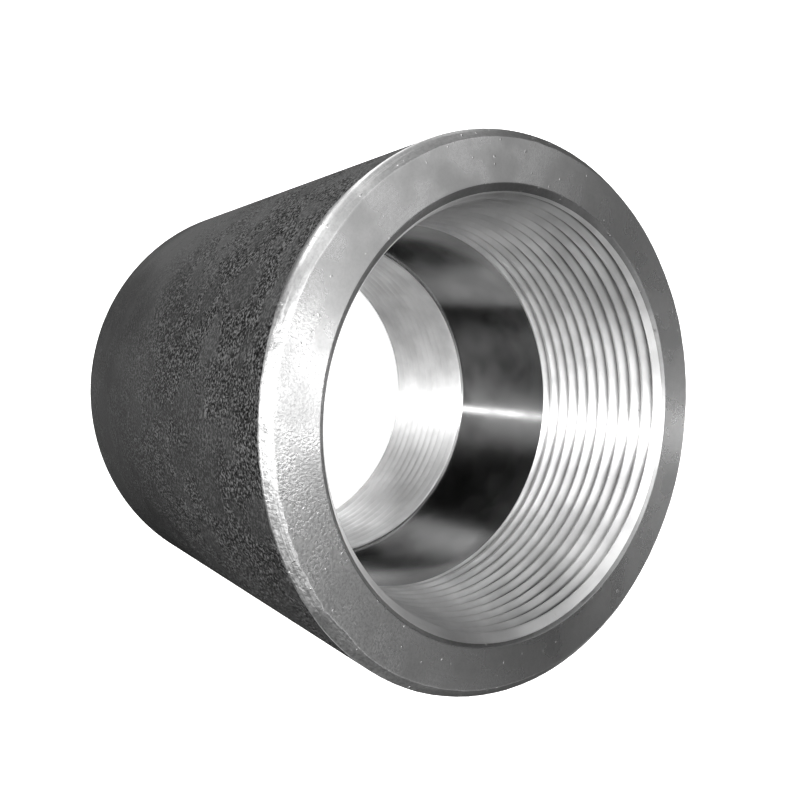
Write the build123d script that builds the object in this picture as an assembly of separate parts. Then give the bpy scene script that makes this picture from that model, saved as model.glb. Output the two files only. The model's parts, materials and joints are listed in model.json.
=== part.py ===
from build123d import *
import os

# A full coupling of forged steel for 3 inch pipe. It is one turned body: a drilled bore runs through it,
# a taper pipe thread is cut into the bore from each end, and a smooth relief lies between the two threads.
# The bore is left here at the size that it has before tapping, so its wall lies at the thread's crests.
# The coupling stands on one end. +Z runs up the axis, and the origin is the middle of the lower end face.
# Every size is in millimetres.

# Driving dimensions of the body
coupling_length = 108.0        # over both end faces
thread_bore_diameter = 82.55   # drilled straight, ready for the taper tap
wall_thickness = 12.725        # from the drilled bore to the forged outside
end_bevel_width = 1.8          # breaks each outer edge, measured across the end face
end_bevel_length = 1.45        # the same bevel, measured along the axis

# Driving dimensions of what is cut into the bore
countersink_width = 2.9        # opens each mouth for the pipe, measured across the end face
countersink_length = 2.9       # the same countersink, measured along the axis
relief_length = 34.8           # smooth stretch in the middle, from edge to edge
relief_depth = 0.725           # how far it lies below the bore, so that the tap runs out clear
relief_bevel_length = 0.725    # sloped end of the relief, measured along the axis

# Sizes that follow
bore_radius = thread_bore_diameter / 2
outer_radius = bore_radius + wall_thickness
middle_height = coupling_length / 2


def upper_outline():
    """The wall above its middle, as (radius, height): outer edge, top face, mouth, bore and relief."""
    relief_top = middle_height + relief_length / 2
    return [
        (outer_radius, coupling_length - end_bevel_length),
        (outer_radius - end_bevel_width, coupling_length),
        (bore_radius + countersink_width, coupling_length),
        (bore_radius, coupling_length - countersink_length),
        (bore_radius, relief_top),
        (bore_radius + relief_depth, relief_top - relief_bevel_length),
    ]


def turned_body():
    """The wall's section, alike above and below the middle, turned once round the axis."""
    upper = upper_outline()
    lower = [(radius, coupling_length - height) for radius, height in reversed(upper)]
    with BuildPart() as body:
        with BuildSketch(Plane.XZ):
            with BuildLine():
                Polyline(*upper, *lower, close=True)
            make_face()
        revolve(axis=Axis.Z)
    return body.part


coupling_body = turned_body()

os.makedirs("parts", exist_ok=True)
export_step(coupling_body, "parts/coupling_body.step")
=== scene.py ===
# %% [markdown]
# # A threaded coupling of forged steel
# The real thing is one piece of steel, 108 mm across and 108 mm long. It is forged as a thick tube, its
# ends are turned flat, and a taper pipe thread is cut into each end of its bore. This lesson makes it as
# one closed mesh, gives each of its surfaces the finish that its making left on it, and lights it as a
# small studio would.
#
# The first cell loads the measured model. Everything below is in metres and stays inside its box.

# %% Load the measured model
import json
import math
import bpy
import numpy as np
from mathutils import Matrix, Vector


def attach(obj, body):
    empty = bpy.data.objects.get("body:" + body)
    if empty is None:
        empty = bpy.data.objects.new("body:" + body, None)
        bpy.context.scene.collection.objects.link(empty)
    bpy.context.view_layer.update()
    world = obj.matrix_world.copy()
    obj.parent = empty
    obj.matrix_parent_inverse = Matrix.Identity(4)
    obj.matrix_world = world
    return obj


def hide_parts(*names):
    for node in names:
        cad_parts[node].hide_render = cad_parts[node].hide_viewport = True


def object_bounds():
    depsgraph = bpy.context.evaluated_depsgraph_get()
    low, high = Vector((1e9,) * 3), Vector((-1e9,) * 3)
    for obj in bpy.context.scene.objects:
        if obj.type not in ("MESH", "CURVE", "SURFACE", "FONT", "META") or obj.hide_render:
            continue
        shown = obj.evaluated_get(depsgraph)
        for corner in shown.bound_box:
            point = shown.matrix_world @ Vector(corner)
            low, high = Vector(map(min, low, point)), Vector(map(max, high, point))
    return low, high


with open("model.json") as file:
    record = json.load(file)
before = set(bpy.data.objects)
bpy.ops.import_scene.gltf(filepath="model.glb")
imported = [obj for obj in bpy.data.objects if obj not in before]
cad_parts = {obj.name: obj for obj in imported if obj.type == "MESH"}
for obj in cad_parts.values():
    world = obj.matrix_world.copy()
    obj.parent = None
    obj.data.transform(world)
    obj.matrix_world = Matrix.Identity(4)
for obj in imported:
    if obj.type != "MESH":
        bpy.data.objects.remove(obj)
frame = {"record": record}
cad_low, cad_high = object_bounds()
MM = 0.001
mounts = {mount["name"]: mount for mount in frame["record"]["mounts"]}
print("measured box in mm:", [round((high - low) / MM, 2) for low, high in zip(cad_low, cad_high)])

# %% [markdown]
# ## The camera
# A camera matched to the photograph comes first, so that every later step is seen as the photograph
# shows it. It hangs close over the upper end, looks down and across the bore, and is turned on its side,
# because in the photograph the standing coupling's axis runs sideways.

# %% Camera
CAMERA_PLACE = Vector((0, -101.1, 212.3)) * MM
CAMERA_TILT = math.radians(51.66)
CAMERA_TURN = math.radians(1.28)
CAMERA_ROLL = math.radians(97.4)
CAMERA_LENS = 33.7
CAMERA_SHIFT = (-0.0612, 0.0275)
CAMERA_NEAR = 10 * MM


def aim(place, tilt, turn, roll):
    """A camera's matrix: it looks along +Y, tilted down, turned to its right, then rolled clockwise."""
    ahead = Vector((math.sin(turn) * math.cos(tilt), math.cos(turn) * math.cos(tilt), -math.sin(tilt)))
    level_right = ahead.cross(Vector((0, 0, 1))).normalized()
    level_up = level_right.cross(ahead)
    right = level_right * math.cos(roll) + level_up * math.sin(roll)
    up = level_up * math.cos(roll) - level_right * math.sin(roll)
    return Matrix.Translation(place) @ Matrix((right, up, -ahead)).transposed().to_4x4()


camera = bpy.data.objects.new("camera", bpy.data.cameras.new("camera"))
bpy.context.scene.collection.objects.link(camera)
camera.matrix_world = aim(CAMERA_PLACE, CAMERA_TILT, CAMERA_TURN, CAMERA_ROLL)
camera.data.lens = CAMERA_LENS
camera.data.shift_x, camera.data.shift_y = CAMERA_SHIFT
camera.data.clip_start = CAMERA_NEAR
bpy.context.scene.camera = camera
print("camera looks along", [round(v, 3) for v in camera.matrix_world.col[2].xyz * -1])

# %% [markdown]
# ## The sizes
# The length and the width come from the measured model, and the threaded length from its mount. What the
# measured model keeps plain is given here: 8 turns of thread to the inch, on a taper of 1 in 16 on the
# diameter. The tap also cuts the crests, so they lie on the same taper as the roots.
#
# The standard's flanks stand at 60 degrees and would cut 2.5 mm deep. The photograph shows the near
# thread flatter than that, and the far one as faint lines only, so the flanks stand at 50 and 26 degrees
# here.

# %% Sizes from the measured model and from the thread's standard
LENGTH = cad_high[2] - cad_low[2]
OUTER_RADIUS = cad_high[0]
BORE_RADIUS = mounts["upper_thread"]["dims"]["r_mm"] * MM
COUNTERSINK = 2.9 * MM
THREADED_LENGTH = mounts["upper_thread"]["dims"]["length_mm"] * MM + COUNTERSINK
END_BEVEL_WIDTH = 1.8 * MM
END_BEVEL_LENGTH = 1.45 * MM
RELIEF_RADIUS = BORE_RADIUS + 0.725 * MM
LIP_RADIUS = BORE_RADIUS + COUNTERSINK

PITCH = 25.4 / 8 * MM
FLANK_SLOPE = {"upper": math.tan(math.radians(50)), "lower": math.tan(math.radians(26))}
CREST_ROUNDING = {"upper": 0.35 * MM, "lower": 0.6 * MM}
TAPER = 1 / 32
CREST_AT_FACE = 42.1 * MM
print("turns of thread in each end:", round(THREADED_LENGTH / PITCH, 1))

# %% [markdown]
# ## The thread
# A thread is a V groove wound round the bore. Its surface is a height over the bore's wall, so a formula
# can give the radius at any depth and any distance from the crest. A grid of points whose rows follow
# the helix puts an edge exactly on every crest and root, where a plain grid would cut steps into them.
#
# At its inner end the groove runs out in a slope, to a radius just over the bore's.

# %% The thread's profile
END_RADIUS = BORE_RADIUS + 0.3 * MM


def thread_radius(end, depth, from_crest):
    """The wall's radius at a depth under the end face, at a distance along the axis from a crest."""
    crest = CREST_AT_FACE - TAPER * depth
    flank = np.hypot(FLANK_SLOPE[end] * from_crest, CREST_ROUNDING[end]) - CREST_ROUNDING[end]
    to_end = THREADED_LENGTH - depth
    groove = np.minimum(np.maximum(crest + flank, BORE_RADIUS), END_RADIUS + to_end)
    return np.maximum(groove, END_RADIUS - to_end)


ROWS_BESIDE_CREST = {
    "upper": np.array([0.0, 0.06, 0.13, 0.21, 0.32, 0.46, 0.7, 1.1]) * MM,
    "lower": np.array([0.0, 0.3, 0.6, 1.0]) * MM,
}
for end in ROWS_BESIDE_CREST:
    groove_depth = thread_radius(end, 0, PITCH / 2) - thread_radius(end, 0, 0)
    print(end, "thread's groove depth in mm:", round(groove_depth / MM, 2))

# %% [markdown]
# ## The closed body
# The body is made of bands: rows of points round the axis, joined by faces. A row is a radius and a
# height for each column of points. Each band starts from the row that the last one ends in, and points
# that lie in the same place are joined at the end, which closes the mesh.

# %% Columns of points, and plain rows
COLUMNS = 240
ANGLES = np.linspace(0, 2 * math.pi, COLUMNS + 1)


def at_end(end, radius, depth):
    """A row from its depth under an end face."""
    return radius, (LENGTH - depth if end == "upper" else depth)


def outline(*corners):
    """Rows through points given as radius and height."""
    return [(np.full(COLUMNS + 1, radius), np.full(COLUMNS + 1, height)) for radius, height in corners]


print("columns lie apart by mm:", round(2 * math.pi * OUTER_RADIUS / COLUMNS / MM, 2))

# %% [markdown]
# ## Rows of the thread
# A right hand thread climbs as the angle grows, seen from above, so at the upper end its crests come
# nearer to the face and at the lower end they go away from it. The first crest's depth under the face
# holds a quarter of a turn round from +X, and the crests follow from there.

# %% Rows that follow the helix
CREST_UNDER_FACE = {"upper": 1.73 * MM, "lower": 1.0 * MM}
CREST_TURN = 0.25
HAND = {"upper": -1, "lower": 1}
TURNS_BEFORE = 2
TURNS_AFTER = 3


def crest_depth(end):
    """Depth of the first crest at each angle."""
    turn = ANGLES / (2 * math.pi) - CREST_TURN
    return CREST_UNDER_FACE[end] + HAND[end] * PITCH * turn


def from_crest(end, depth):
    """Distance along the axis to the nearest crest."""
    away = depth - crest_depth(end)
    return away - PITCH * np.round(away / PITCH)


def thread_rows(end):
    """Rows that follow the grooves, from the countersink to the end of the thread."""
    beside = ROWS_BESIDE_CREST[end]
    sides = [*beside, PITCH / 2, *(PITCH - beside[:0:-1])]
    rows = []
    for turn in range(-TURNS_BEFORE, int(THREADED_LENGTH / PITCH) + TURNS_AFTER):
        for side in sides:
            depth = np.clip(crest_depth(end) + turn * PITCH + side, COUNTERSINK, THREADED_LENGTH)
            rows.append(at_end(end, thread_radius(end, depth, from_crest(end, depth)), depth))
    return rows


print("rows in the upper thread:", len(thread_rows("upper")))

# %% [markdown]
# ## The mouth
# A countersink opens each end for the pipe. Its cone cuts the grooves short in a wavy line. Rows that
# lie close together draw that line, where each point takes the larger radius of cone and groove. The
# cone's first stretch is a smooth lip, wider on one side than on the other.

# %% Rows of the mouth
LIP_LEAST_MM = 0.6
LIP_EXTRA_MM = 0.65
LIP_WIDEST = math.radians(-150)
LIP = (LIP_LEAST_MM + LIP_EXTRA_MM * (0.5 + 0.5 * np.cos(ANGLES - LIP_WIDEST)) ** 3) * MM
FINE_ROW = 0.12 * MM


def mouth_rows(end):
    """Closely spaced rows from the lip down, where the countersink's cone cuts across the grooves."""
    rows = []
    for level in np.linspace(LIP, COUNTERSINK, round((COUNTERSINK - LIP.min()) / FINE_ROW) + 1):
        cone = LIP_RADIUS - level
        groove = thread_radius(end, level, from_crest(end, level))
        rows.append(at_end(end, np.maximum(cone, groove), level))
    return rows


upper_mouth = mouth_rows("upper")
lower_mouth = mouth_rows("lower")
print("rows in each mouth:", len(upper_mouth))

# %% [markdown]
# ## Worn edges
# No edge of the real thing is quite sharp or quite even. Each corner is rounded here by a short curve,
# and its line wavers: in long waves from the turning, in small random steps from the blasting, and in a
# dent or two from handling. All of these are added to a row's radius or depth, so the mesh stays closed.

# %% Rounded corners, waves, dents and ragged steps
RAGGED_EVERYWHERE = 0.25


def eased(before, corner, after, reach, steps):
    """A rounded corner: a curve that leaves one side and joins the next within the reach."""
    before, corner, after = [
        np.array([np.full(COLUMNS + 1, part) for part in point]) for point in (before, corner, after)
    ]
    start = corner + (before - corner) * reach / np.hypot(*(before - corner))
    stop = corner + (after - corner) * reach / np.hypot(*(after - corner))
    shares = np.linspace(0, 1, steps + 1)
    curve = [(1 - t) ** 2 * start + 2 * t * (1 - t) * corner + t * t * stop for t in shares]
    return [tuple(point) for point in curve]


def uneven(*waves):
    """Small differences round the rim, as a sum of waves given as height, number of waves and angle."""
    return sum(
        height * MM * np.cos(count * ANGLES + math.radians(angle)) for height, count, angle in waves
    )


def degrees_from(angle):
    """How far each column is from an angle, in degrees."""
    return (np.degrees(ANGLES) - angle + 180) % 360 - 180


def dents(*places):
    """Dents round the rim, given as depth, angle and half width in degrees."""
    total = np.zeros(COLUMNS + 1)
    for depth, angle, half in places:
        total += depth * MM * np.exp(-((degrees_from(angle) / half) ** 2))
    return total


def ragged(height, seed, angle, half):
    """Random steps from column to column, as blasting leaves them, and weaker away from an angle."""
    steps = np.random.default_rng(seed).normal(0, height * MM, COLUMNS)
    nearby = np.exp(-((degrees_from(angle) / half) ** 2))
    return np.append(steps, steps[0]) * (RAGGED_EVERYWHERE + (1 - RAGGED_EVERYWHERE) * nearby)


print("a dent of 1 mm, 10 degrees from its middle, in mm:", round(dents((1, -10, 10))[0] / MM, 2))

# %% [markdown]
# ## The rims
# A rim is the flat turned face, the bevel outside it and the lip inside it. Narrow flat rows beside both
# edges of the face keep its shading flat up to the rounding. The rims differ in their waves and dents,
# but both have the sizes of the measured model.

# %% The two rims
FLAT_EDGE = 0.2 * MM
SKIN_REACH = 0.15 * MM
BEVEL_STEPS = 4
# A corner's reach, and the steps of its curve
FACE_CORNER = (0.1 * MM, 2)
LIP_CORNER = (0.15 * MM, 3)


def rim(end, face_wave, skin_wave, skin_reach):
    """A turned face with its bevel outside and its lip inside, from the skin to the mouth."""
    on_skin = at_end(end, OUTER_RADIUS, LENGTH / 2)
    skin_edge = at_end(end, OUTER_RADIUS, END_BEVEL_LENGTH + skin_wave)
    face_edge = at_end(end, OUTER_RADIUS - END_BEVEL_WIDTH + face_wave, 0)
    lip_edge = at_end(end, LIP_RADIUS, 0)
    cone = at_end(end, LIP_RADIUS - LIP, LIP)
    outer = eased(on_skin, skin_edge, face_edge, skin_reach, BEVEL_STEPS)
    inner = eased(skin_edge, face_edge, lip_edge, *FACE_CORNER)
    lip = eased(face_edge, lip_edge, cone, *LIP_CORNER)
    outside, inside = inner[-1], lip[0]
    face = [
        outside,
        (outside[0] - FLAT_EDGE, outside[1]),
        (inside[0] + FLAT_EDGE, inside[1]),
        inside,
    ]
    return [
        ("turned edge", outer + inner),
        ("turned face", face),
        ("smooth lip", lip + mouth_rows(end)[:1]),
    ]


upper_rim = rim(
    "upper",
    uneven((0.10, 2, 20), (0.07, 5, 130), (0.05, 9, 10), (0.03, 17, 80))
    + ragged(0.10, 1, -55, 30) - dents((0.45, -43, 4), (0.35, -120, 8)),
    uneven((0.12, 1, 200), (0.08, 4, 70), (0.05, 11, 50))
    + ragged(0.08, 2, -80, 60) + dents((0.3, -43, 6), (0.2, -118, 7)),
    SKIN_REACH + dents((1.1, -116, 14)),
)
lower_rim = rim(
    "lower",
    uneven((0.10, 3, 60), (0.07, 7, 10), (0.04, 13, 40))
    + ragged(0.08, 3, 70, 30) - dents((0.4, 70, 5)),
    uneven((0.10, 2, 100), (0.06, 6, 30))
    + ragged(0.08, 4, 120, 60) + dents((0.3, 72, 5)),
    SKIN_REACH + dents((0.5, 150, 15)),
)
print("rows in each rim:", sum(len(rows) for _, rows in upper_rim))

# %% [markdown]
# ## All bands in order
# The outside is a straight wall between the two rims. The relief in the middle of the bore is smooth and
# slightly wider than the threads' ends, and a short slope leads to it. The order of the bands goes up
# the outside, over the upper rim, down the bore and back out over the lower rim.

# %% The bands
SKIN_ROWS = 30
SKIN_EDGE = 0.002
bottom, top = lower_rim[0][1][0][1], upper_rim[0][1][0][1]
shares = [0, SKIN_EDGE, *np.linspace(0, 1, SKIN_ROWS)[1:-1], 1 - SKIN_EDGE, 1]
skin = outline(*[(OUTER_RADIUS, bottom + (top - bottom) * share) for share in shares])

RELIEF_BEVEL = RELIEF_RADIUS - END_RADIUS
RELIEF_TOP = LENGTH - THREADED_LENGTH
relief = outline(
    (END_RADIUS, RELIEF_TOP),
    (RELIEF_RADIUS, RELIEF_TOP - RELIEF_BEVEL),
    (RELIEF_RADIUS, THREADED_LENGTH + RELIEF_BEVEL),
    (END_RADIUS, THREADED_LENGTH),
)
BANDS = [
    ("forged skin", skin),
    *upper_rim,
    ("cut thread", upper_mouth),
    ("cut thread", thread_rows("upper")),
    ("bored relief", relief),
    ("worn thread", thread_rows("lower")[::-1]),
    ("worn thread", lower_mouth[::-1]),
    *[(finish, rows[::-1]) for finish, rows in lower_rim[::-1]],
]
print("rows in all:", sum(len(rows) for _, rows in BANDS))

# %% [markdown]
# ## One mesh
# All points of all bands are put in one list, equal ones are joined, and a face that lost its area in
# this is left out. Each face remembers its finish. Edges that turn by more than 25 degrees stay sharp in
# the shading, and all others are shaded round.

# %% Join the bands into one closed mesh
JOIN_WITHIN = 0.001 * MM


def band_faces(rows, first):
    """Points of a band, and its four-sided faces as numbers of those points."""
    radius = np.array([row[0] for row in rows])
    height = np.array([row[1] for row in rows])
    turn = ANGLES % (2 * math.pi)
    points = np.stack([radius * np.cos(turn), radius * np.sin(turn), height], axis=2).reshape(-1, 3)
    row, column = np.meshgrid(np.arange(len(rows) - 1), np.arange(COLUMNS), indexing="ij")
    corner = (first + row * (COLUMNS + 1) + column).reshape(-1)
    faces = np.stack([corner, corner + 1, corner + COLUMNS + 2, corner + COLUMNS + 1], axis=1)
    return points, faces


def closed_mesh(name, bands, finishes):
    """One mesh from all bands: equal points joined, faces with no area left out."""
    points, faces, marks, first = [], [], [], 0
    for finish, rows in bands:
        band_points, quads = band_faces(rows, first)
        first += len(band_points)
        points.append(band_points)
        faces.append(quads)
        marks.append(np.full(len(quads), finishes.index(finish)))
    points, faces, marks = np.concatenate(points), np.concatenate(faces), np.concatenate(marks)
    cells = np.round(points / JOIN_WITHIN)
    _, kept, place = np.unique(cells, axis=0, return_index=True, return_inverse=True)
    place = place.reshape(-1)
    polygons, finish_of = [], []
    for quad, mark in zip(place[faces].tolist(), marks.tolist()):
        corners = [point for k, point in enumerate(quad) if point != quad[k - 1]]
        if len(set(corners)) == len(corners) > 2:
            polygons.append(corners)
            finish_of.append(mark)
    mesh = bpy.data.meshes.new(name)
    mesh.from_pydata(points[kept].tolist(), [], polygons)
    mesh.polygons.foreach_set("material_index", finish_of)
    return mesh


print("points this near to each other are joined, in mm:", JOIN_WITHIN / MM)

# %% The coupling
FINISHES = [
    "forged skin", "turned edge", "turned face", "smooth lip",
    "cut thread", "worn thread", "bored relief",
]
SHARP_ANGLE = math.radians(25)
body_mesh = closed_mesh("coupling", BANDS, FINISHES)
body_mesh.polygons.foreach_set("use_smooth", [True] * len(body_mesh.polygons))
body_mesh.set_sharp_from_angle(angle=SHARP_ANGLE)
coupling = bpy.data.objects.new("coupling", body_mesh)
bpy.context.scene.collection.objects.link(coupling)
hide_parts("coupling_body")
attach(coupling, "root")
print("triangles:", sum(len(polygon.vertices) - 2 for polygon in body_mesh.polygons))

# %% [markdown]
# ## Helpers for the finishes
# Colours are picked as sRGB hex values and turned to the linear values that a shader wants. Every node
# is added by one small function, with its settings and links in one call. All patterns are solid ones,
# read at a point's place in space, so the mesh needs no unwrapping, and their scales come from real
# sizes.

# %% Helpers
def colour(hex_value):
    """A linear colour with alpha from an sRGB hex value such as "8a8d90"."""
    parts = [int(hex_value[k:k + 2], 16) / 255 for k in (0, 2, 4)]
    return [v / 12.92 if v <= 0.04045 else ((v + 0.055) / 1.055) ** 2.4 for v in parts] + [1.0]


def add(tree, kind, inputs=None, **settings):
    """Adds a node. Inputs are numbers, colours or other nodes' sockets, by name or by place."""
    node = tree.nodes.new(kind)
    for name, value in settings.items():
        setattr(node, name, value)
    for name, value in (inputs or {}).items():
        if isinstance(value, bpy.types.NodeSocket):
            tree.links.new(value, node.inputs[name])
        else:
            node.inputs[name].default_value = value
    return node


def new_material(name):
    """An empty node material and its tree."""
    material = bpy.data.materials.new(name)
    material.use_nodes = True
    material.node_tree.nodes.clear()
    return material, material.node_tree


def per_mm(size):
    """Scale of a pattern whose features are this many millimetres apart."""
    return 1 / (size * MM)


print("middle grey, linear:", [round(part, 3) for part in colour("808080")])

# %% [markdown]
# ## Patterns that several finishes share
# A cutting tool leaves rings: a noise that is stretched along the ring and fine across it. On the face
# the rings follow each other outwards, and on a wall they follow each other upwards.
#
# A Map Range node turns a pattern into a mask. Its places are 0 for the value, 1 and 2 for where the
# mask starts and ends, and 3 and 4 for what it goes from and to. A Mix node of colours has its share at
# 0, its first colour at 6 and its second at 7, and gives its colour at 2.

# %% Shared settings, and rings left by a tool
SMOOTH = {"interpolation_type": "SMOOTHSTEP"}
TIMES = {"operation": "MULTIPLY"}
TIMES_PLUS = {"operation": "MULTIPLY_ADD"}
COLOURS = {"data_type": "RGBA"}
LEVEL = (1.0, 1.0, 0.0)


def from_axis(tree, place):
    """Distance of a point from the axis."""
    flat = add(tree, "ShaderNodeVectorMath", {0: place, 1: LEVEL}, **TIMES).outputs[0]
    return add(tree, "ShaderNodeVectorMath", {0: flat}, operation="LENGTH").outputs["Value"]


def ring_marks(tree, place, across_mm, along_mm, outwards):
    """Noise stretched along a tool's rings, which lie outside each other or one over the other."""
    parts = add(tree, "ShaderNodeSeparateXYZ", {"Vector": place})
    across = from_axis(tree, place) if outwards else parts.outputs["Z"]
    stretched = add(tree, "ShaderNodeMath", {0: across, 1: along_mm / across_mm}, **TIMES)
    vector = add(tree, "ShaderNodeCombineXYZ", {
        "X": parts.outputs["X"], "Y": parts.outputs["Y"], "Z": stretched.outputs[0]})
    return add(tree, "ShaderNodeTexNoise", {
        "Vector": vector.outputs[0], "Scale": per_mm(along_mm),
        "Detail": 2.0, "Roughness": 0.6}).outputs[0]


print("marks that are 12 mm long and 0.5 mm apart are stretched by:", 12 / 0.5)

# %% [markdown]
# ## Forged scale
# The outside kept the black scale of the forge, broken up by blasting into a fine grain: light crumbs
# and dark pits about 0.5 mm wide. A rough, dark surface with hardly any gloss gives the eye that dry
# skin, so its IOR is far under that of solid oxide. The grain is strong in patches and near the upper
# end, and worn smooth towards the lower one. Painted shade makes the scale darker towards +X and low
# down.

# %% Where the grain is strong, and the colour of the scale with its painted shade
GRAIN_MM = 0.5
PATCH_MM = 8
CLOUD_MM = 26
# The scale's own greys, and the near black of its painted shade
SCALE_GREYS = ("383838", "4a4a4a")
SHADED_SCALE_BLACK = "0a0a0a"


def grain_strength(tree, place, height):
    """A mask that is 1 where the grain shows fully: in patches, and towards the upper end."""
    patches = add(tree, "ShaderNodeTexNoise", {
        "Vector": place, "Scale": per_mm(PATCH_MM), "Detail": 3.0}).outputs[0]
    patchy = add(tree, "ShaderNodeMapRange", {0: patches, 1: 0.38, 2: 0.56, 3: 0.3, 4: 1.0}, **SMOOTH)
    upward = add(tree, "ShaderNodeMapRange", {
        0: height, 1: 20 * MM, 2: 80 * MM, 3: 0.15, 4: 1.0}, **SMOOTH)
    return add(tree, "ShaderNodeMath", {0: upward.outputs[0], 1: patchy.outputs[0]}, **TIMES).outputs[0]


def scale_colour_and_shade(tree, place, across, height):
    """Grey in large clouds, and nearly black where shade is painted: towards +X and low down."""
    tone = add(tree, "ShaderNodeTexNoise", {
        "Vector": place, "Scale": per_mm(CLOUD_MM), "Detail": 3.0}).outputs[0]
    cloudy = add(tree, "ShaderNodeMapRange", {0: tone, 1: 0.35, 2: 0.65}, **SMOOTH).outputs[0]
    thin = add(tree, "ShaderNodeMix", {
        0: cloudy, 6: colour(SCALE_GREYS[0]), 7: colour(SCALE_GREYS[1])}, **COLOURS).outputs[2]
    # Painted shade: darker towards +X and towards the lower end.
    shaded_side = add(tree, "ShaderNodeMapRange", {
        0: across, 1: -45 * MM, 2: 28 * MM, 4: 0.9}, **SMOOTH).outputs[0]
    shaded_low = add(tree, "ShaderNodeMapRange", {
        0: height, 1: 110 * MM, 2: 30 * MM, 3: 0.33, 4: 1.08}).outputs[0]
    painted_shade = add(tree, "ShaderNodeMath", {0: shaded_side, 1: shaded_low}, **TIMES).outputs[0]
    return add(tree, "ShaderNodeMix", {
        0: painted_shade, 6: thin, 7: colour(SHADED_SCALE_BLACK)}, **COLOURS).outputs[2]


print("grain, patches and clouds of the scale in mm:", GRAIN_MM, PATCH_MM, CLOUD_MM)

# %% The forged skin's finish
GRAIN_HEIGHT = 1.1 * MM
PIT_BLACK = "060606"
CRUMB_GREY = "686868"


def forged_scale():
    """Nearly black scale with light crumbs and dark pits."""
    material, tree = new_material("forged scale")
    place = add(tree, "ShaderNodeTexCoord").outputs["Object"]
    parts = add(tree, "ShaderNodeSeparateXYZ", {"Vector": place})
    across, height = parts.outputs["X"], parts.outputs["Z"]
    grain = add(tree, "ShaderNodeTexNoise", {
        "Vector": place, "Scale": per_mm(GRAIN_MM), "Detail": 1.0, "Roughness": 0.6,
        "Distortion": 0.5}).outputs[0]
    strength = grain_strength(tree, place, height)
    high = add(tree, "ShaderNodeMapRange", {0: grain, 1: 0.52, 2: 0.62}, **SMOOTH).outputs[0]
    low = add(tree, "ShaderNodeMapRange", {0: grain, 1: 0.49, 2: 0.4}, **SMOOTH).outputs[0]
    crumbs = add(tree, "ShaderNodeMath", {0: high, 1: strength}, **TIMES).outputs[0]
    pits = add(tree, "ShaderNodeMath", {0: low, 1: strength}, **TIMES).outputs[0]
    # The scale's colour, with painted shade towards +X and low down
    skin_colour_and_shade = scale_colour_and_shade(tree, place, across, height)
    pitted = add(tree, "ShaderNodeMix", {0: pits, 6: skin_colour_and_shade, 7: colour(PIT_BLACK)}, **COLOURS)
    base = add(tree, "ShaderNodeMix", {
        0: crumbs, 6: pitted.outputs[2], 7: colour(CRUMB_GREY)}, **COLOURS)
    bumpy = add(tree, "ShaderNodeMath", {0: grain, 1: strength}, **TIMES).outputs[0]
    bump = add(tree, "ShaderNodeBump", {"Height": bumpy, "Strength": 1.0, "Distance": GRAIN_HEIGHT})
    scale = add(tree, "ShaderNodeBsdfPrincipled", {
        "Base Color": base.outputs[2], "Metallic": 0.0, "Roughness": 0.6, "IOR": 1.1,
        "Normal": bump.outputs[0]})
    add(tree, "ShaderNodeOutputMaterial", {"Surface": scale.outputs[0]})
    return material


FINISH = {"forged skin": forged_scale()}
print("nodes in the forged scale:", len(FINISH["forged skin"].node_tree.nodes))

# %% [markdown]
# ## What lies on the machined steel, and the painted shade in its roots
# Bevels, faces, lips, threads and relief are the same bare steel, cut by different tools. On it come
# stains, which are darker and duller, and the crumbs that blasting left, most of all on one side. Here
# and there sits a small spot, a burr or a splash of scale.
#
# Painted shade lies as thin dark lines in the near thread's roots. It is strongest on the two sides
# towards -X and +X, and the countersink's cone has none.

# %% Crumbs, spots and painted shade in the roots
BLASTED_ANGLE = math.radians(-63)
BLASTED_SIDE = (math.cos(BLASTED_ANGLE), math.sin(BLASTED_ANGLE), 0.0)
SPOT_MM = 1.2
# Painted shade in the near thread's roots: where it starts and is full over the crest, the two sides
# where it is strongest, and its grey
ROOT_SHADE_STARTS = 0.85 * MM
ROOT_SHADE_FULL = 1.3 * MM
SHADED_SIDES_START = 28 * MM
SHADED_SIDES_FULL = 41 * MM
SHADE_BETWEEN_SIDES = 0.2
ROOT_SHADE_GREY = "202020"


def blasted_share(tree, place, stains, everywhere):
    """A patchy mask: nearly 1 on the blasted side, and a set share of that everywhere else."""
    side = add(tree, "ShaderNodeVectorMath", {0: place, 1: BLASTED_SIDE}, operation="DOT_PRODUCT")
    towards_side = add(tree, "ShaderNodeMapRange", {
        0: side.outputs["Value"], 1: 34 * MM, 2: 47 * MM, 3: everywhere, 4: 1.0}, **SMOOTH)
    patchy = add(tree, "ShaderNodeMapRange", {0: stains, 1: 0.3, 2: 0.6, 3: 0.75, 4: 1.0}, **SMOOTH)
    return add(tree, "ShaderNodeMath", {
        0: towards_side.outputs[0], 1: patchy.outputs[0]}, **TIMES).outputs[0]


def with_spots(tree, place, height, spot_height):
    """A height with single small spots on it."""
    dots = add(tree, "ShaderNodeTexNoise", {
        "Vector": place, "Scale": per_mm(SPOT_MM), "Detail": 1.0}).outputs[0]
    spot = add(tree, "ShaderNodeMapRange", {0: dots, 1: 0.715, 2: 0.78}, **SMOOTH).outputs[0]
    return add(tree, "ShaderNodeMath", {0: spot, 1: spot_height, 2: height}, **TIMES_PLUS).outputs[0]


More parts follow.
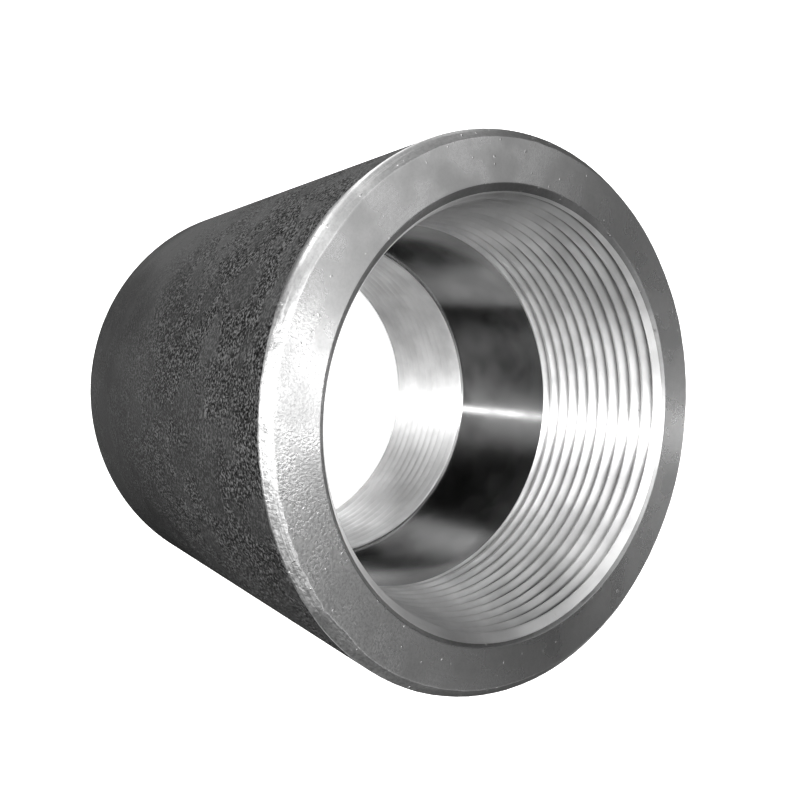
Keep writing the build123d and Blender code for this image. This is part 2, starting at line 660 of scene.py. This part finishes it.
def with_root_shade(tree, place, base, strength):
    """A colour with painted shade as dark lines in the roots of the upper thread."""
    parts = add(tree, "ShaderNodeSeparateXYZ", {"Vector": place})
    crest = CREST_AT_FACE - TAPER * LENGTH
    over_taper = add(tree, "ShaderNodeMath", {
        0: parts.outputs["Z"], 1: -TAPER, 2: from_axis(tree, place)}, **TIMES_PLUS).outputs[0]
    root = add(tree, "ShaderNodeMapRange", {
        0: over_taper, 1: crest + ROOT_SHADE_STARTS, 2: crest + ROOT_SHADE_FULL, 4: strength}, **SMOOTH).outputs[0]
    sideways = add(tree, "ShaderNodeMath", {0: parts.outputs["X"]}, operation="ABSOLUTE").outputs[0]
    shaded_sides = add(tree, "ShaderNodeMapRange", {
        0: sideways, 1: SHADED_SIDES_START, 2: SHADED_SIDES_FULL, 3: SHADE_BETWEEN_SIDES}, **SMOOTH).outputs[0]
    mouth = LENGTH - COUNTERSINK
    under_mouth = add(tree, "ShaderNodeMapRange", {
        0: parts.outputs["Z"], 1: mouth + 0.5 * MM, 2: mouth - 0.1 * MM}, **SMOOTH).outputs[0]
    shaded_sides = add(tree, "ShaderNodeMath", {0: shaded_sides, 1: under_mouth}, **TIMES).outputs[0]
    root_shade_mask = add(tree, "ShaderNodeMath", {0: root, 1: shaded_sides}, **TIMES).outputs[0]
    return add(tree, "ShaderNodeMix", {
        0: root_shade_mask, 6: base, 7: colour(ROOT_SHADE_GREY)}, **COLOURS).outputs[2]


# The painted shade in the roots starts this far over the crest.
print("spots on the steel in mm:", SPOT_MM, "and dirt starts over the crest by mm:", ROOT_SHADE_STARTS / MM)

# %% [markdown]
# ## Machined steel
# The tool's fine grooves make highlights spread across the rings and stay narrow along them, so the
# shader's tangent runs round the axis, and its stretched highlight is turned by a quarter.
#
# A finish is given by the steel's two greys, by its tool marks (how far apart, how long, whether they
# lie outside each other, how deep) and by the crumbs of the blasting (how wide, how deep), all in
# millimetres. Then come the crumbs' share away from the blasted side, how dark the pits between them
# are, the height of single spots in millimetres, and how dark the painted shade in the roots is. Real
# tool marks lie closer than 0.4 mm and wouldn't show in the picture, so they are drawn at least that
# coarse.

# %% The machined finish
STAIN_MM = 9
DULLER = 0.03
PIT_GREY = "505050"


def machined(
    name, greys, roughness, anisotropy, marks, crumbs, everywhere=0.0, pits=0.0, spots=0.0, root_shade=0.0
):
    """Bare steel with tool marks, stains, what blasting left on it, and any painted shade in the roots.
    """
    material, tree = new_material(name)
    place = add(tree, "ShaderNodeTexCoord").outputs["Object"]
    mark_apart, mark_length, mark_outwards, mark_depth = marks
    crumb_size, crumb_depth = crumbs
    rings = ring_marks(tree, place, mark_apart, mark_length, mark_outwards)
    grit = add(tree, "ShaderNodeTexNoise", {
        "Vector": place, "Scale": per_mm(crumb_size), "Detail": 2.0, "Roughness": 0.6,
        "Distortion": 0.4}).outputs[0]
    stains = add(tree, "ShaderNodeTexNoise", {
        "Vector": place, "Scale": per_mm(STAIN_MM), "Detail": 3.0}).outputs[0]
    blasted = blasted_share(tree, place, stains, everywhere)

    crumb = add(tree, "ShaderNodeMath", {0: grit, 1: blasted}, **TIMES).outputs[0]
    crumb_height = add(tree, "ShaderNodeMath", {0: crumb, 1: crumb_depth}, **TIMES).outputs[0]
    height = add(tree, "ShaderNodeMath", {
        0: rings, 1: mark_depth, 2: crumb_height}, **TIMES_PLUS).outputs[0]
    if spots:
        height = with_spots(tree, place, height, spots)
    bump = add(tree, "ShaderNodeBump", {"Height": height, "Strength": 1.0, "Distance": MM})

    spread = add(tree, "ShaderNodeMapRange", {0: stains, 1: 0.3, 2: 0.7}, **SMOOTH).outputs[0]
    base = add(tree, "ShaderNodeMix", {
        0: spread, 6: colour(greys[0]), 7: colour(greys[1])}, **COLOURS).outputs[2]
    hollow = add(tree, "ShaderNodeMapRange", {0: grit, 1: 0.6, 2: 0.34, 4: pits}, **SMOOTH).outputs[0]
    pit = add(tree, "ShaderNodeMath", {0: hollow, 1: blasted}, **TIMES).outputs[0]
    base = add(tree, "ShaderNodeMix", {0: pit, 6: base, 7: colour(PIT_GREY)}, **COLOURS).outputs[2]
    # Painted shade: dark lines in the roots of the upper thread.
    if root_shade:
        base = with_root_shade(tree, place, base, root_shade)

    dull = add(tree, "ShaderNodeMapRange", {
        0: stains, 1: 0.3, 2: 0.7, 3: roughness + DULLER, 4: roughness - DULLER}, **SMOOTH).outputs[0]
    tangent = add(tree, "ShaderNodeTangent", direction_type="RADIAL", axis="Z")
    steel = add(tree, "ShaderNodeBsdfPrincipled", {
        "Base Color": base, "Metallic": 1.0, "Roughness": dull, "Anisotropic": anisotropy,
        "Anisotropic Rotation": 0.25, "Tangent": tangent.outputs[0], "Normal": bump.outputs[0]})
    add(tree, "ShaderNodeOutputMaterial", {"Surface": steel.outputs[0]})
    return material


print("stains on the steel in mm:", STAIN_MM, "and their difference in roughness:", 2 * DULLER)

# %% [markdown]
# ## Six kinds of machined steel
# - Blasted steel, on the bevels: dull grey, with crumbs and pits.
# - Turned steel, on the faces: smooth, with a narrow highlight.
# - Lip steel with painted shade, at the mouth: the same cut, its greys darkened as painted shade.
# - Tapped steel, in the near thread: pale, with a highlight that spreads widely across the grooves.
# - Worn tapped steel, in the far thread: duller still, its marks nearly gone.
# - Bored steel, in the relief: the smoothest of all, and dark where nothing bright is mirrored.

# %% The steels
OUTWARDS = True
UPWARDS = False
FINISH["turned edge"] = machined(
    "blasted steel", ("989898", "b8b8b8"), roughness=0.4, anisotropy=0.3,
    marks=(0.5, 20, OUTWARDS, 0.06), crumbs=(0.6, 0.07), everywhere=0.35, pits=0.5, spots=0.1)
FINISH["turned face"] = machined(
    "turned steel", ("a8a8a8", "c2c2c2"), roughness=0.28, anisotropy=0.68,
    marks=(0.5, 12, OUTWARDS, 0.01), crumbs=(0.5, 0.04), everywhere=0.2, pits=0.35, spots=0.03)
# The lip's dark greys are painted shade.
FINISH["smooth lip"] = machined(
    "lip steel with painted shade", ("707070", "848484"), roughness=0.36, anisotropy=0.3,
    marks=(0.5, 12, OUTWARDS, 0.01), crumbs=(0.7, 0.03), everywhere=0.5, pits=0.3, spots=0.08)
# The near thread gets painted shade in its roots.
FINISH["cut thread"] = machined(
    "tapped steel", ("d0d0d0", "e4e4e4"), roughness=0.45, anisotropy=0.95,
    marks=(0.4, 10, UPWARDS, 0.02), crumbs=(0.6, 0.014), everywhere=0.9, spots=0.03, root_shade=0.85)
FINISH["worn thread"] = machined(
    "worn tapped steel", ("d0d0d0", "e4e4e4"), roughness=0.58, anisotropy=0.95,
    marks=(0.4, 14, UPWARDS, 0.006), crumbs=(0.6, 0.005), everywhere=0.5)
FINISH["bored relief"] = machined(
    "bored steel", ("989898", "a8a8a8"), roughness=0.2, anisotropy=0.75,
    marks=(0.8, 30, UPWARDS, 0.002), crumbs=(2.0, 0.001))
for finish in FINISHES:
    body_mesh.materials.append(FINISH[finish])
print("materials on the coupling:", [material.name for material in body_mesh.materials])

# %% [markdown]
# ## The floor
# The photograph shows the coupling on plain white. The floor is only there for the camera: it is kept
# out of reflections, bounced light and shadows, so light from below reaches the bore as it does in the
# photograph.

# %% Floor
FLOOR_REACH = 3.0
floor_corners = [
    (-FLOOR_REACH, -FLOOR_REACH, 0), (FLOOR_REACH, -FLOOR_REACH, 0),
    (FLOOR_REACH, FLOOR_REACH, 0), (-FLOOR_REACH, FLOOR_REACH, 0),
]
floor_mesh = bpy.data.meshes.new("floor")
floor_mesh.from_pydata(floor_corners, [], [(0, 1, 2, 3)])
floor = bpy.data.objects.new("floor", floor_mesh)
bpy.context.scene.collection.objects.link(floor)
floor.visible_glossy = False
floor.visible_diffuse = False
floor.visible_shadow = False
floor_material, floor_tree = new_material("white floor")
paper = add(floor_tree, "ShaderNodeBsdfPrincipled", {
    "Base Color": colour("f4f4f4"), "Roughness": 0.8,
    "Emission Color": colour("ffffff"), "Emission Strength": 0.6})
add(floor_tree, "ShaderNodeOutputMaterial", {"Surface": paper.outputs[0]})
floor_mesh.materials.append(floor_material)
print("the floor reaches this far in m:", FLOOR_REACH)

# %% [markdown]
# ## Strip lights
# Bare steel shows what it mirrors, so the lights stand where the reflections on the face, the bevel, the
# thread's flanks and the relief place them. Narrow, bright strips draw the sharp highlights: the white
# lines across the threads and the face, and the thin one down the relief. Each is given by its angle
# round from +X and above the floor in degrees, its size in metres, and how bright its surface is.

# %% Strip lights
AIM_POINT = Vector((0, 0, 100)) * MM
LIGHT_DISTANCE = 1.5


def towards(azimuth, elevation):
    """A direction, from its angle round from +X and its angle above the floor, in degrees."""
    across, up = math.radians(azimuth), math.radians(elevation)
    return Vector((math.cos(up) * math.cos(across), math.cos(up) * math.sin(across), math.sin(up)))


def strip_light(name, azimuth, elevation, size, radiance):
    """A strip of light that faces the coupling. Its size is across and up, in metres."""
    light = bpy.data.lights.new(name, "AREA")
    light.shape = "RECTANGLE"
    light.size, light.size_y = size
    light.energy = math.pi * size[0] * size[1] * radiance
    lamp = bpy.data.objects.new(name, light)
    bpy.context.scene.collection.objects.link(lamp)
    lamp.location = AIM_POINT + towards(azimuth, elevation) * LIGHT_DISTANCE
    lamp.rotation_euler = (AIM_POINT - lamp.location).to_track_quat("-Z", "Y").to_euler()
    lamp.visible_camera = False
    return lamp


STRIPS = {
    "strip overhead": (91, 76, (0.28, 0.9), 3.8),
    "strip in front": (272, 48, (0.07, 1.3), 45),
    "broad strip in front": (272, 48, (0.4, 1.0), 4.5),
    "strip behind": (91, 16, (0.09, 0.6), 4.5),
    "strip below": (273.2, -48, (0.04, 1.4), 6),
}
for name, (azimuth, elevation, size, radiance) in STRIPS.items():
    strip_light(name, azimuth, elevation, size, radiance)
print("strip lights:", len(STRIPS))

# %% [markdown]
# ## Soft panels
# The soft greys between the highlights come from large panels. Each is a round patch of light in the
# world's background, so it is endlessly far away and needs no object. It is given by its angles round
# and up, its radius and the width of its soft edge, all in degrees, and by its brightness. Panels below
# the floor's level light the bore through its open lower end. The camera itself sees plain white behind
# the coupling.

# %% Soft panels
PANELS = {
    "key left": (244, 58, 30, 30, 3.6),
    "key right": (295, 58, 30, 30, 2.7),
    "top": (0, 88, 30, 30, 0.6),
    "left high": (141, 58, 30, 30, 1.1),
    "left": (192, 56, 30, 30, 1.2),
    "right": (347, 58, 30, 30, 1.6),
    "right behind": (30, 45, 30, 30, 0.45),
    "left low": (210, 6, 30, 30, 2.3),
    "left below": (180, -20, 30, 30, 3.4),
    "front below": (270, -20, 30, 30, 3.0),
    "right front below": (315, -20, 26, 24, 0.45),
    "right below": (0, -20, 28, 28, 1.0),
    "behind": (90, 40, 34, 34, 0.04),
    "high behind": (68, 63, 17, 17, 0.35),
    "back left": (148, 24, 26, 26, 0.3),
    "back right": (32, 24, 26, 26, 0.25),
    "left glint": (221, -5, 14, 8, 6.0),
    "back fill": (90, 0, 40, 40, 0.45),
    "low behind": (90, -14, 34, 34, 1.3),
    "far right below": (312, -74, 20, 16, 2.4),
    "relief left": (177, -32, 20, 5, 0.75),
    "relief right": (3, -34, 20, 3, 0.7),
}
world = bpy.data.worlds.new("studio")
world.use_nodes = True
sky = world.node_tree
sky.nodes.clear()
ray = add(sky, "ShaderNodeTexCoord").outputs["Generated"]
glow = 0.0
for azimuth, elevation, radius, soft_edge, radiance in PANELS.values():
    nearness = add(sky, "ShaderNodeVectorMath", {
        0: ray, 1: towards(azimuth, elevation)}, operation="DOT_PRODUCT").outputs["Value"]
    outside = math.cos(math.radians(radius))
    inside = math.cos(math.radians(radius - soft_edge))
    panel = add(sky, "ShaderNodeMapRange", {0: nearness, 1: outside, 2: inside}, **SMOOTH).outputs[0]
    glow = add(sky, "ShaderNodeMath", {0: panel, 1: radiance, 2: glow}, **TIMES_PLUS).outputs[0]
studio = add(sky, "ShaderNodeBackground", {"Color": colour("ffffff"), "Strength": glow})
plain = add(sky, "ShaderNodeBackground", {"Color": colour("ffffff"), "Strength": 1.0})
to_camera = add(sky, "ShaderNodeLightPath").outputs["Is Camera Ray"]
chosen = add(sky, "ShaderNodeMixShader", {0: to_camera, 1: studio.outputs[0], 2: plain.outputs[0]})
add(sky, "ShaderNodeOutputWorld", {"Surface": chosen.outputs[0]})
bpy.context.scene.world = world
bpy.context.scene.view_settings.view_transform = "Standard"
print("soft panels:", len(PANELS))
